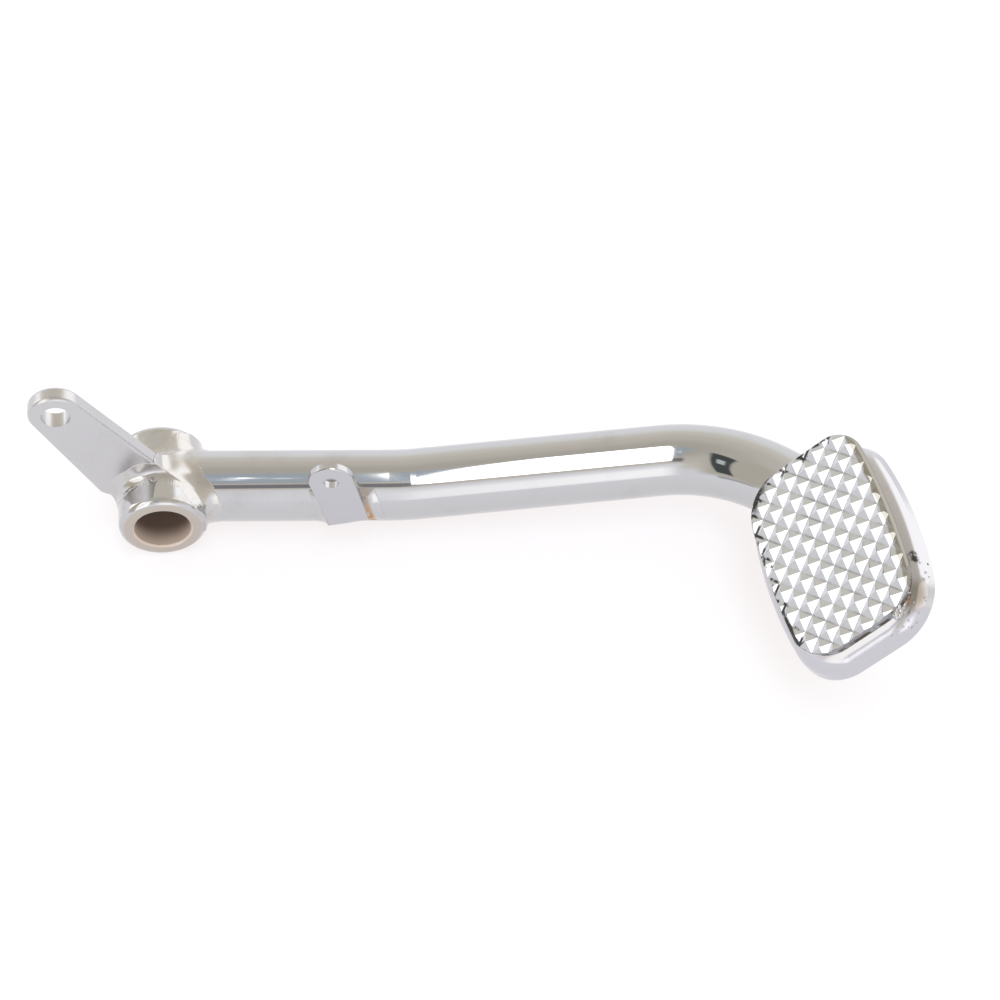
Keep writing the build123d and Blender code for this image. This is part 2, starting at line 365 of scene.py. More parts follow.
def make_rust_bloom():
    group, given, result = shader_group(
        "rust_bloom",
        [("Place", PLACE, None), ("Patches", VALUE, 500.0), ("Start", VALUE, 0.4), ("Full", VALUE, 0.6)],
        [("Rust", VALUE), ("Colour", COLOUR)],
    )
    patches = noise(group, given["Place"], given["Patches"], 6.0, 0.65)
    group.links.new(fade_node(group, patches, given["Start"], given["Full"], 0.0, 1.0), result["Rust"])
    grain = noise(group, given["Place"], math_node(group, "MULTIPLY", given["Patches"], 2.7), 4.0, 0.6)
    shade = fade_node(group, grain, 0.35, 0.68, 0.0, 1.0)
    group.links.new(mix_node(group, shade, RUST_DARK, RUST_ORANGE), result["Colour"])
    return group


def make_wheel_waves():
    group, given, result = shader_group(
        "wheel_waves",
        [
            ("Place", PLACE, None),
            ("Waves", VALUE, 60.0),
            ("Grain", VALUE, 700.0),
            ("Grain Share", VALUE, 0.03),
        ],
        [("Height", VALUE)],
    )
    slow = noise(group, given["Place"], given["Waves"], 1.0, 0.4)
    fine = noise(group, given["Place"], given["Grain"], 2.0, 0.5)
    added = math_node(group, "MULTIPLY", fine, given["Grain Share"])
    group.links.new(math_node(group, "ADD", slow, added), result["Height"])
    return group


WEAR = {
    "film": make_hand_film(),
    "pits": make_plating_pits(),
    "rust": make_rust_bloom(),
    "waves": make_wheel_waves(),
}
print("wear groups:", sorted(WEAR))

# %% [markdown]
# A finish is laid on like the real one: bare chrome first, then what came over it. Each coat has a mask
# and its own colour, roughness and metal, and the next coat goes over the sum.

# %% Finishes
CHROME = (0.55, 0.555, 0.57)


def blend_node(tree, factor, first, second):
    """Mix of two plain numbers or links."""
    node = put(tree, "ShaderNodeMix", {"Factor": factor, "A": first, "B": second}, data_type="FLOAT")
    return next(s for s in node.outputs if s.enabled)


class Finish:
    """One material while it is being laid on."""

    def __init__(self, name, colour=CHROME, roughness=0.05):
        self.material = bpy.data.materials.new(name)
        self.material.use_nodes = True
        self.tree = self.material.node_tree
        self.shader = self.tree.nodes["Principled BSDF"]
        self.place = self.tree.nodes.new("ShaderNodeTexCoord").outputs["Object"]
        self.colour = colour
        self.roughness = roughness
        self.metal = 1.0
        self.normal = None

    def wear(self, kind, output, **values):
        node = self.tree.nodes.new("ShaderNodeGroup")
        node.node_tree = WEAR[kind]
        self.tree.links.new(self.place, node.inputs["Place"])
        for label, value in values.items():
            node.inputs[label.replace("_", " ")].default_value = value
        return node.outputs[output] if isinstance(output, str) else [node.outputs[o] for o in output]

    def cover(self, mask, colour, roughness, metal):
        self.colour = mix_node(self.tree, mask, self.colour, colour)
        self.roughness = blend_node(self.tree, mask, self.roughness, roughness)
        if metal != 1.0 or self.metal != 1.0:
            self.metal = blend_node(self.tree, mask, self.metal, metal)

    def bump(self, height, depth, strength=1.0):
        inputs = {"Height": height, "Distance": depth, "Strength": strength}
        if self.normal:
            inputs["Normal"] = self.normal
        self.normal = put(self.tree, "ShaderNodeBump", inputs).outputs["Normal"]

    def near(self, centre, full, none):
        """Mask round one point: 1 within the first distance and 0 beyond the second."""
        gap = vector_node(self.tree, "DISTANCE", self.place, centre, "Value")
        return fade_node(self.tree, gap, full, none, 1.0, 0.0)

    def both(self, first, second):
        return math_node(self.tree, "MULTIPLY", first, second)

    def done(self):
        for label, value in (
            ("Base Color", self.colour),
            ("Roughness", self.roughness),
            ("Metallic", self.metal),
            ("Normal", self.normal),
        ):
            socket = self.shader.inputs[label]
            if isinstance(value, bpy.types.NodeSocket):
                self.tree.links.new(value, socket)
            elif isinstance(value, tuple):
                socket.default_value = (*value, 1)
            elif value is not None:
                socket.default_value = value
        return self.material


def dress(finish, *names):
    material = finish.done()
    for name in names:
        nodes[name].data.materials.clear()
        nodes[name].data.materials.append(material)
    print(material.name + ":", ", ".join(names))
    return material


def lay_film(finish, patches, start, full, colour, roughness):
    mask = finish.wear("film", "Film", Patches=patches, Start=start, Full=full)
    finish.cover(mask, colour, roughness, 1.0)


# %% [markdown]
# The tube, the arm and the tab are bright chrome. Slow waves along the tube, as a polishing wheel leaves
# them, make the long white reflection waver. The tube's first stretch is also shaded with a slight slope,
# which is a guess: it makes the white reflection start where it does in the picture. The arm and the tab
# are a little duller and show finger marks.

# %% Tube, arm and tab
DULL_CHROME = (0.50, 0.495, 0.50)
BOW_END = 66 * MM
BOW_SLOPE = 0.0075

tube = Finish("plated_tube", roughness=0.045)
lay_film(tube, 70.0, 0.52, 0.80, DULL_CHROME, 0.10)
tube.bump(tube.wear("waves", "Height", Waves=42.0), 0.03 * MM, 0.5)
from_boss = dot_node(tube.tree, tube.place, (1, 0, 0))
tube.bump(math_node(tube.tree, "MINIMUM", from_boss, BOW_END), BOW_SLOPE)
dress(tube, "lever_tube")

arm = Finish("plated_arm", (0.565, 0.56, 0.575), 0.27)
lay_film(arm, 60.0, 0.50, 1.00, (0.51, 0.505, 0.51), 0.32)
arm_pits = arm.wear("pits", "Pit", Cells=260.0, Share=0.03, Size=0.10)
arm.cover(arm_pits, (0.16, 0.14, 0.12), 0.5, 0.6)
arm.bump(arm.wear("waves", "Height", Waves=90.0, Grain_Share=0.0), 0.05 * MM, 0.5)
dress(arm, "brake_rod_arm")

tab = Finish("plated_tab", (0.53, 0.53, 0.56), 0.16)
lay_film(tab, 120.0, 0.54, 0.90, (0.49, 0.485, 0.50), 0.24)
tab.bump(tab.wear("waves", "Height", Waves=60.0, Grain_Share=0.0), 0.03 * MM, 0.5)
dress(tab, "switch_tab")

# %% [markdown]
# The boss is plated outside, but plating hardly reaches into a long bore. The bore is therefore bare steel
# gone brown, and it is painted darker deeper in, as painted shade, from tan at its mouth to dark brown. The
# boss's two end faces are a little dull. Masks by distance from the bore's axis and by distance from the
# middle of the boss find those places.

# %% Boss
boss_low, boss_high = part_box("pivot_boss")
BOSS_RADIUS = (boss_high.x - boss_low.x) / 2
BOSS_HALF = (boss_high.y - boss_low.y) / 2
BORE_RADIUS = 7.5 * MM
BORE_SHADED_BROWN = (0.19, 0.14, 0.115)
BORE_LIP = (0.72, 0.61, 0.53)
DULL_FACE = (0.52, 0.47, 0.43)

boss = Finish("plated_boss", roughness=0.07)
lay_film(boss, 210.0, 0.46, 0.70, (0.49, 0.46, 0.44), 0.16)
boss.bump(boss.wear("waves", "Height", Waves=110.0), 0.15 * MM, 0.5)
flat = vector_node(boss.tree, "MULTIPLY", boss.place, (1, 0, 1))
radius = vector_node(boss.tree, "LENGTH", flat, output="Value")
depth = math_node(boss.tree, "ABSOLUTE", dot_node(boss.tree, boss.place, (0, 1, 0)))
end_face = fade_node(boss.tree, depth, BOSS_HALF - 0.3 * MM, BOSS_HALF - 0.05 * MM, 0.0, 1.0)
boss.cover(end_face, DULL_FACE, 0.25, 1.0)
in_bore = fade_node(boss.tree, radius, BORE_RADIUS + 0.2 * MM, BORE_RADIUS + 0.6 * MM, 1.0, 0.0)
# Painted shade: the bore's brown darkens from its mouth inward.
mouth_less_shaded = fade_node(boss.tree, depth, BOSS_HALF - 7.0 * MM, BOSS_HALF - 0.5 * MM, 0.0, 1.0)
boss.cover(in_bore, mix_node(boss.tree, mouth_less_shaded, BORE_SHADED_BROWN, BORE_LIP), 0.6, 0.2)
bore_rust, bore_colour = boss.wear("rust", ("Rust", "Colour"), Patches=320.0, Start=0.58, Full=0.78)
boss.cover(boss.both(in_bore, bore_rust), bore_colour, 0.8, 0.0)
dress(boss, "pivot_boss")
print("boss: radius", round(BOSS_RADIUS / MM, 2), "mm, half length", round(BOSS_HALF / MM, 2), "mm")

# %% [markdown]
# The pad's shell is worn. Pits are spread over it, two chips sit by its front edge, and rust shows where
# the tread does not quite close on it. Its outboard corner is painted a darker chrome, a painted dark
# reflection. Each of these is a coat with its own mask.

# %% Shell
tack_low, tack_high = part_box("tread_tack")
TACK_SPOT = (tack_low + tack_high) / 2
GAP_SPOT = pad_point(25.6, 12.7, -1.8)
DARKENED_SPOT = pad_point(24.5, 15.5, -2.2)
CHIPS = (pad_point(14.2, 18.8, -3.3), pad_point(15.6, 18.7, -3.45))
PIT_BROWN = (0.14, 0.11, 0.09)
CORNER_PAINTED_DARK = (0.36, 0.33, 0.30)
CHIP_BLACK = (0.05, 0.05, 0.048)

shell = Finish("plated_shell", (0.57, 0.565, 0.60), 0.12)
lay_film(shell, 95.0, 0.54, 0.80, DULL_CHROME, 0.12)
shell_pits = shell.wear("pits", "Pit", Cells=420.0, Share=0.10, Size=0.22)
shell.cover(shell_pits, PIT_BROWN, 0.6, 0.4)
# Painted dark reflection: a darker chrome over the outboard corner.
shell.cover(shell.near(DARKENED_SPOT, 1.5 * MM, 5.0 * MM), CORNER_PAINTED_DARK, 0.12, 1.0)
gap_rust, gap_colour = shell.wear("rust", ("Rust", "Colour"), Patches=900.0, Start=0.42, Full=0.55)
shell.cover(shell.both(shell.near(GAP_SPOT, 0.6 * MM, 2.4 * MM), gap_rust), gap_colour, 0.8, 0.1)
chip_grain = shell.wear("film", "Film", Patches=800.0, Start=0.38, Full=0.48)
for chip in CHIPS:
    chipped = shell.both(shell.near(chip, 0.5 * MM, 1.4 * MM), chip_grain)
    shell.cover(chipped, CHIP_BLACK, 0.35, 0.6)
shell.bump(shell.wear("waves", "Height", Waves=75.0), 0.12 * MM, 0.5)
dress(shell, "pad_shell")

# %% [markdown]
# The tread is painted black in broken patches along its rear and inboard edges, on the rim and low between
# the pyramids next to it: a painted dark reflection of the rolled-over rims there. Black patches also lie
# about the corner between those edges, and the bottoms of the grooves are darker in patches. The tread's
# front edge is rolled down and is dull and tan. The material turns the object's coordinates into the pad's
# own, so that the height over the grooves and the distance from an edge are each plainly one number. The
# long sides bow outward, and the distance allows for that.

# %% Tread
TREAD_HALF_LENGTH = 27.35 * MM
TREAD_HALF_WIDTH = 18.8 * MM
TREAD_BOW = 2.0 * MM
TREAD_SHIFT = -0.25 * MM
EDGE_DARK_TOP = 0.15 * MM
GROOVE_DARK_TOP = 0.04 * MM
GROOVE_DARK_SHARE = 0.45
GROOVE_GREY = (0.10, 0.095, 0.09)
FOOT_BROWN = (0.13, 0.11, 0.095)
EDGE_PAINTED_DARK = (0.03, 0.028, 0.026)
CORNER_BLACK = (0.02, 0.02, 0.02)
ROLLED_TAN = (0.31, 0.295, 0.265)
BLACK_CORNER = pad_point(-25.0, -15.0, 0.0)

tread = Finish("plated_tread", roughness=0.05)
to_pad = Matrix((PAD_LONG, PAD_WIDE, PAD_NORMAL))
on_pad = put(
    tread.tree,
    "ShaderNodeMapping",
    {"Vector": tread.place, "Rotation": to_pad.to_euler(), "Location": -(to_pad @ PAD_CENTRE)},
    vector_type="POINT",
).outputs[0]
along, across, height = put(tread.tree, "ShaderNodeSeparateXYZ", {0: on_pad}).outputs
along_squared = math_node(tread.tree, "MULTIPLY", along, along)
bowed_in = math_node(tread.tree, "MULTIPLY", along_squared, TREAD_BOW / TREAD_HALF_LENGTH**2)
half_width = math_node(tread.tree, "SUBTRACT", TREAD_HALF_WIDTH, bowed_in)
from_front = math_node(tread.tree, "SUBTRACT", half_width, across)
from_rear = math_node(tread.tree, "ADD", half_width, across)
from_inboard = math_node(tread.tree, "ADD", along, TREAD_HALF_LENGTH - TREAD_SHIFT)
from_cut = math_node(tread.tree, "MINIMUM", from_rear, from_inboard)
lay_film(tread, 140.0, 0.55, 0.80, DULL_CHROME, 0.14)
# The bottoms of the grooves are darker, in patches.
groove = fade_node(tread.tree, height, 0.0, GROOVE_DARK_TOP, GROOVE_DARK_SHARE, 0.0)
groove_film = tread.wear("film", "Film", Patches=120.0, Start=0.42, Full=0.62)
tread.cover(tread.both(groove, groove_film), GROOVE_GREY, 0.4, 0.8)
foot = fade_node(tread.tree, height, -1.15 * MM, -0.85 * MM, 1.0, 0.0)
foot_film = tread.wear("film", "Film", Patches=330.0, Start=0.42, Full=0.52)
tread.cover(tread.both(foot, foot_film), FOOT_BROWN, 0.45, 0.8)
# Painted dark reflection: black in broken patches on the rear and inboard rims and low between the pyramids
# next to them.
outer_line = fade_node(tread.tree, from_cut, 1.15 * MM, 1.45 * MM, 1.0, 0.0)
line_film = tread.wear("film", "Film", Patches=150.0, Start=0.47, Full=0.54)
tread.cover(tread.both(outer_line, line_film), EDGE_PAINTED_DARK, 0.5, 0.5)
low_down = fade_node(tread.tree, height, 0.0, EDGE_DARK_TOP, 1.0, 0.0)
edge_dark_patches = tread.wear("film", "Film", Patches=190.0, Start=0.46, Full=0.51)
cut_edge = fade_node(tread.tree, from_cut, 2.2 * MM, 3.0 * MM, 1.0, 0.0)
tread.cover(tread.both(tread.both(cut_edge, low_down), edge_dark_patches), EDGE_PAINTED_DARK, 0.55, 0.4)
chunks = tread.wear("film", "Film", Patches=300.0, Start=0.44, Full=0.49)
# Black patches about the inboard rear corner.
tread.cover(tread.both(tread.near(BLACK_CORNER, 3.0 * MM, 6.5 * MM), chunks), CORNER_BLACK, 0.6, 0.3)
rolled_edge = fade_node(tread.tree, from_front, 1.7 * MM, 2.2 * MM, 1.0, 0.0)
tread.cover(rolled_edge, ROLLED_TAN, 0.22, 1.0)
tread.bump(tread.wear("waves", "Height", Waves=260.0), 0.05 * MM, 0.5)
dress(tread, "tread_plate")

# %% [markdown]
# Four weld finishes. The welds at the boss are plated like the rest, with a tan cast. The welds under the
# pad are brown with rust. The weld at the tab is plated too, and rust shows only along the tab's two edges,
# so masks measured from the tab's foot lay it there. The tack on the tread is bright, rough and speckled.

# %% Weld finishes
plated_weld = Finish("plated_weld", (0.57, 0.56, 0.56), 0.13)
lay_film(plated_weld, 260.0, 0.46, 0.76, (0.51, 0.475, 0.45), 0.20)
weld_waves = plated_weld.wear("waves", "Height", Waves=200.0, Grain=900.0, Grain_Share=0.05)
plated_weld.bump(weld_waves, 0.12 * MM, 0.5)
plated_weld_material = dress(plated_weld, "boss_weld", "arm_weld_front", "arm_weld_back")

rusty = Finish("rusty_weld", colour=(0.58, 0.41, 0.26), roughness=0.36)
rust, rust_colour = rusty.wear("rust", ("Rust", "Colour"), Patches=650.0, Start=0.48, Full=0.72)
rusty.cover(rust, rust_colour, 0.85, 0.0)
rusty.bump(rusty.wear("waves", "Height", Waves=900.0, Grain=3000.0, Grain_Share=0.4), 0.10 * MM, 0.8)
rusty_material = dress(rusty, "pad_weld_front", "pad_weld_rear")

TAB_FOOT = tab_point(0, 0, 0)
TAB_ALONG = (tab_point(1, 0, 0) - TAB_FOOT).normalized()
TAB_UP = (tab_point(0, 1, 0) - TAB_FOOT).normalized()
EDGE_RUST = (0.52, 0.29, 0.125)
RUSTED_EDGES = (
    # edge across the tab in mm, reach of the rust from it in mm, strength
    (TAB_HALF + 0.45, 1.25, 1.0),
    (-TAB_HALF - 0.3, 0.8, 0.35),
)

tab_weld = Finish("tab_weld", roughness=0.10)
lay_film(tab_weld, 90.0, 0.50, 0.80, DULL_CHROME, 0.16)


def from_tab_foot(axis):
    reach = dot_node(tab_weld.tree, tab_weld.place, axis)
    return math_node(tab_weld.tree, "SUBTRACT", reach, TAB_FOOT.dot(axis))


tab_x = from_tab_foot(TAB_ALONG)
tab_y = from_tab_foot(TAB_UP)
low_end = fade_node(tab_weld.tree, tab_y, -1.0 * MM, 6.5 * MM, 1.0, 0.25)
stain = tab_weld.wear("film", "Film", Patches=420.0, Start=0.30, Full=0.56)
for edge, reach, share in RUSTED_EDGES:
    off_edge = math_node(tab_weld.tree, "ABSOLUTE", math_node(tab_weld.tree, "SUBTRACT", tab_x, edge * MM))
    strip = fade_node(tab_weld.tree, off_edge, 0.3 * reach * MM, reach * MM, share, 0.0)
    tab_weld.cover(tab_weld.both(tab_weld.both(strip, low_end), stain), EDGE_RUST, 0.7, 0.2)
tab_weld_material = dress(tab_weld, "tab_weld")

tack = Finish("rough_tack", roughness=0.16)
tack_rust, tack_colour = tack.wear("rust", ("Rust", "Colour"), Patches=1400.0, Start=0.56, Full=0.68)
tack.cover(tack_rust, tack_colour, 0.7, 0.3)
tack.bump(tack.wear("waves", "Height", Waves=1800.0, Grain=5000.0, Grain_Share=0.5), 0.08 * MM, 0.7)
tack_material = dress(tack, "tread_tack")
print("finishes:", len(bpy.data.materials), "materials")

# %% [markdown]
# Pieces that follow a rule are grown by Geometry Nodes. Each tree has named inputs for its sizes. The
# modifier runs once on a helper object, the result is kept as a plain mesh, and the helper goes away.

# %% Growing pieces
WHOLE = "NodeSocketInt"
PAINT = "NodeSocketMaterial"


def geometry_tree(name, inputs):
    tree = bpy.data.node_groups.new(name, "GeometryNodeTree")
    tree.interface.new_socket("Geometry", in_out="INPUT", socket_type="NodeSocketGeometry")
    tree.interface.new_socket("Geometry", in_out="OUTPUT", socket_type="NodeSocketGeometry")
    for label, kind in inputs:
        tree.interface.new_socket(label, in_out="INPUT", socket_type=kind)
    return tree, tree.nodes.new("NodeGroupInput").outputs


def close_tree(tree, given, shape):
    """Smooth shading, real geometry and a material, as the end of every tree."""
    smooth = put(tree, "GeometryNodeSetShadeSmooth", {"Geometry": shape}).outputs[0]
    real = put(tree, "GeometryNodeRealizeInstances", {"Geometry": smooth}).outputs[0]
    painted = put(tree, "GeometryNodeSetMaterial", {"Geometry": real, "Material": given["Paint"]})
    tree.links.new(painted.outputs[0], tree.nodes.new("NodeGroupOutput").inputs[0])
    return tree


def grow(name, tree, values, seed_mesh=None):
    maker = bpy.data.objects.new(name + "_maker", seed_mesh or bpy.data.meshes.new(name + "_maker"))
    bpy.context.scene.collection.objects.link(maker)
    modifier = maker.modifiers.new("grow", "NODES")
    modifier.node_group = tree
    for item in tree.interface.items_tree:
        if item.in_out == "INPUT" and item.name in values:
            modifier[item.identifier] = values[item.name]
    graph = bpy.context.evaluated_depsgraph_get()
    mesh = bpy.data.meshes.new_from_object(maker.evaluated_get(graph))
    bpy.data.objects.remove(maker)
    shape = bmesh.new()
    shape.from_mesh(mesh)
    bmesh.ops.remove_doubles(shape, verts=shape.verts, dist=0.001 * MM)
    bmesh.ops.recalc_face_normals(shape, faces=shape.faces)
    shape.to_mesh(mesh)
    shape.free()
    mesh.name = name
    piece = bpy.data.objects.new(name, mesh)
    bpy.context.scene.collection.objects.link(piece)
    print(name + ":", len(mesh.polygons), "faces")
    return piece


# %% [markdown]
# The welds at the boss join a round boss, a round tube and a flat arm. A weld there is a soft fillet with
# lumps, which no extrusion gives. So it is written as distances: to the boss, to the tube and to the
# arm. A smooth minimum of the three rounds the corner between them, and noise swells it. The field is
# sampled in a small box of space and its zero surface becomes the mesh.

# %% Welds at the boss
WELD_INPUTS = (
    ("Paint", PAINT),
    ("Boss Radius", VALUE),
    ("Boss Half", VALUE),
    ("Tube Start", PLACE),
    ("Tube Along", PLACE),
    ("Tube Radius", VALUE),
    ("Plate Along", PLACE),
    ("Plate Across", PLACE),
    ("Plate Face", PLACE),
    ("Plate Heel", VALUE),
    ("Plate Low", VALUE),
    ("Plate High", VALUE),
    ("Plate Middle", VALUE),
    ("Plate Half", VALUE),
    ("Plate Top", VALUE),
    ("Blend", VALUE),
    ("Lumps", VALUE),
    ("Lump Height", VALUE),
    ("Toe", VALUE),
    ("Depth", VALUE),
    ("Low Corner", PLACE),
    ("High Corner", PLACE),
    ("Steps", WHOLE),
)


def scale_node(tree, vector, factor):
    return put(tree, "ShaderNodeVectorMath", {0: vector, "Scale": factor}, operation="SCALE").outputs[0]


def make_weld_tree():
    tree, given = geometry_tree("soft_weld", WELD_INPUTS)
    calc = partial(math_node, tree)
    place = put(tree, "GeometryNodeInputPosition").outputs[0]
    along = partial(dot_node, tree, place)

    side = along((0, 1, 0))
    around = vector_node(tree, "MULTIPLY", place, (1, 0, 1))
    boss_wall = calc("SUBTRACT", vector_node(tree, "LENGTH", around, output="Value"), given["Boss Radius"])
    to_boss = calc("MAXIMUM", boss_wall, calc("SUBTRACT", calc("ABSOLUTE", side), given["Boss Half"]))

    from_start = vector_node(tree, "SUBTRACT", place, given["Tube Start"])
    run = dot_node(tree, from_start, given["Tube Along"])
    from_centre = vector_node(tree, "SUBTRACT", from_start, scale_node(tree, given["Tube Along"], run))
    off_centre = vector_node(tree, "LENGTH", from_centre, output="Value")
    tube_wall = calc("SUBTRACT", off_centre, given["Tube Radius"])
    to_tube = calc("MAXIMUM", tube_wall, calc("MULTIPLY", run, -1.0))

    across = along(given["Plate Across"])
    edge_low = calc("SUBTRACT", given["Plate Low"], across)
    edge_high = calc("SUBTRACT", across, given["Plate High"])
    off_face = calc("SUBTRACT", along(given["Plate Face"]), given["Plate Middle"])
    face = calc("SUBTRACT", calc("ABSOLUTE", off_face), given["Plate Half"])
    heel = calc("SUBTRACT", given["Plate Heel"], along(given["Plate Along"]))
    to_plate = calc("MAXIMUM", calc("MAXIMUM", edge_low, edge_high), calc("MAXIMUM", face, heel))

    swell = noise(tree, place, given["Lumps"], 0.0)
    blend = calc("MULTIPLY", given["Blend"], calc("ADD", swell, 0.5))
    joined = calc("SMOOTH_MIN", calc("SMOOTH_MIN", to_boss, to_tube, blend), to_plate, blend)
    plain = calc("MINIMUM", calc("MINIMUM", to_boss, to_tube), to_plate)
    raised = calc("SUBTRACT", plain, joined)
    inside_weld = calc("MINIMUM", calc("DIVIDE", raised, given["Lump Height"]), 1.0)
    lump = calc("MULTIPLY", calc("SUBTRACT", swell, 0.45), given["Lump Height"])
    skin = calc("SUBTRACT", joined, calc("MULTIPLY", lump, inside_weld))
    toe = calc("SUBTRACT", given["Toe"], raised)
    under = calc("SUBTRACT", calc("MULTIPLY", given["Depth"], -1.0), plain)
    over = calc("SUBTRACT", off_face, given["Plate Top"])
    body = calc("MAXIMUM", calc("MAXIMUM", skin, toe), calc("MAXIMUM", under, over))
    density = calc("DIVIDE", body, -MM)
    cube = put(
        tree,
        "GeometryNodeVolumeCube",
        {
            "Density": density,
            "Background": -1.0,
            "Min": given["Low Corner"],
            "Max": given["High Corner"],
            "Resolution X": given["Steps"],
            "Resolution Y": given["Steps"],
            "Resolution Z": given["Steps"],
        },
    ).outputs[0]
    shape = put(tree, "GeometryNodeVolumeToMesh", {"Volume": cube, "Threshold": 0.0}).outputs[0]
    return close_tree(tree, given, shape)


arm_low, arm_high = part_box("brake_rod_arm")
ARM_ANGLE = math.radians(121.8)
ARM_ALONG = Vector((math.cos(ARM_ANGLE), 0, math.sin(ARM_ANGLE)))
ARM_ACROSS = Vector((-math.sin(ARM_ANGLE), 0, math.cos(ARM_ANGLE)))
WELD_LOW = Vector((-18.5 * MM, -12.4 * MM, cad_low.z + 0.15 * MM))
WELD_HIGH = Vector((18.5, 12.4, 19)) * MM

round_pieces = {
    "Boss Radius": BOSS_RADIUS,
    "Boss Half": BOSS_HALF,
    "Tube Start": TUBE_START,
    "Tube Along": TUBE_ALONG,
    "Tube Radius": TUBE_RADIUS,
}
weld_tree = make_weld_tree()
boss_welds = grow(
    "boss_welds",
    weld_tree,
    {
        **round_pieces,
        "Paint": plated_weld_material,
        "Plate Along": ARM_ALONG,
        "Plate Across": ARM_ACROSS,
        "Plate Face": Vector((0, 1, 0)),
        "Plate Heel": 0.0,
        "Plate Low": -8.0 * MM,
        "Plate High": 8.8 * MM,
        "Plate Middle": (arm_low.y + arm_high.y) / 2,
        "Plate Half": (arm_high.y - arm_low.y) / 2,
        "Plate Top": 1.0,
        "Blend": 6.0 * MM,
        "Lumps": 120.0,
        "Lump Height": 0.3 * MM,
        "Toe": 0.04 * MM,
        "Depth": 0.8 * MM,
        "Low Corner": WELD_LOW,
        "High Corner": WELD_HIGH,
        "Steps": 150,
    },
)
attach(boss_welds, "root")
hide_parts("boss_weld", "arm_weld_front", "arm_weld_back")

# %% [markdown]
# The same tree makes the weld at the switch tab: the tab is the plate there, and the boss is too far off
# to matter. Its lumps are hardly raised and it is cut off below the tab's face, so that the weld shows
# only as a smooth hollow with its rust.

# %% Weld at the tab
TAB_THICKNESS = 2.0 * MM
TAB_FOOT_DROP = 1.3 * MM
TAB_WELD_REACH = Vector((10.5, 6.0, 9.0)) * MM
tab_middle = tab_point(0, 4, 0)

tab_weld_piece = grow(
    "tab_weld_soft",
    weld_tree,
    {
        **round_pieces,
        "Paint": tab_weld_material,
        "Plate Along": TAB_UP,
        "Plate Across": TAB_ALONG,
        "Plate Face": TUBE_OUTBOARD,
        "Plate Heel": TAB_FOOT.dot(TAB_UP) - TAB_FOOT_DROP,
        "Plate Low": TAB_FOOT.dot(TAB_ALONG) - TAB_HALF * MM,
        "Plate High": TAB_FOOT.dot(TAB_ALONG) + TAB_HALF * MM,
        "Plate Middle": TAB_FOOT.dot(TUBE_OUTBOARD) + TAB_THICKNESS / 2,
        "Plate Half": TAB_THICKNESS / 2,
        "Plate Top": 0.3 * TAB_THICKNESS,
        "Blend": 5.5 * MM,
        "Lumps": 90.0,
        "Lump Height": 0.05 * MM,
        "Toe": 0.06 * MM,
        "Depth": 0.5 * MM,
        "Low Corner": tab_middle - TAB_WELD_REACH,
        "High Corner": tab_middle + TAB_WELD_REACH,
        "Steps": 140,
    },
)
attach(tab_weld_piece, "root")
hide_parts("tab_weld")

# %% [markdown]
# A hand-laid bead freezes in small steps and looks like a row of leaning coins. It follows a short curve,
# so one tree serves every bead: a curve, a round section whose size swells with each step, and a taper
# at both ends. The beads lie along the tube's end, under the shell.

# %% Rippled beads
BEAD_INPUTS = (
    ("Paint", PAINT),
    ("Start", PLACE),
    ("Middle", PLACE),
    ("End", PLACE),
    ("Radius", VALUE),
    ("Steps", VALUE),
    ("Step Depth", VALUE),
    ("Roughness", VALUE),
)
BEAD_RINGS = 96
BEAD_SIDES = 24


def make_bead_tree():
    tree, given = geometry_tree("rippled_bead", BEAD_INPUTS)
    calc = partial(math_node, tree)
    curve = put(
        tree,
        "GeometryNodeCurveQuadraticBezier",
        {"Resolution": 48, "Start": given["Start"], "Middle": given["Middle"], "End": given["End"]},
    ).outputs[0]
    curve = put(tree, "GeometryNodeResampleCurve", {"Curve": curve, "Count": BEAD_RINGS}).outputs[0]
    way = put(tree, "GeometryNodeSplineParameter").outputs["Factor"]
    wave = calc("ABSOLUTE", calc("SINE", calc("MULTIPLY", calc("MULTIPLY", way, given["Steps"]), math.pi)))
    dip = calc("MULTIPLY", given["Step Depth"], calc("SUBTRACT", calc("SQRT", wave), 1.0))
    ripple = calc("ADD", 1.0, dip)
    end_gap = calc("MINIMUM", way, calc("SUBTRACT", 1.0, way))
    taper = calc("SQRT", calc("MINIMUM", calc("ADD", calc("MULTIPLY", end_gap, 7.0), 0.05), 1.0))
    circle = {"Resolution": BEAD_SIDES, "Radius": given["Radius"]}
    section = put(tree, "GeometryNodeCurvePrimitiveCircle", circle)
    bead = put(
        tree,
        "GeometryNodeCurveToMesh",
        {
            "Curve": curve,
            "Profile Curve": section.outputs["Curve"],
            "Scale": calc("MULTIPLY", ripple, taper),
            "Fill Caps": True,
        },
    ).outputs[0]
    place = put(tree, "GeometryNodeInputPosition").outputs[0]
    rough = calc("MULTIPLY", calc("SUBTRACT", noise(tree, place, 700.0, 3.0), 0.5), given["Roughness"])
    out_from = put(tree, "GeometryNodeInputNormal").outputs["Normal"]
    push = scale_node(tree, out_from, rough)
    bead = put(tree, "GeometryNodeSetPosition", {"Geometry": bead, "Offset": push}).outputs[0]
    return close_tree(tree, given, bead)


bead_tree = make_bead_tree()
BEAD_SIDE = 5.6
BEAD_BULGE = 0.3
BEAD_DROP = -1.2
BEAD_RUN = (-0.6, -7.0, -13.4)

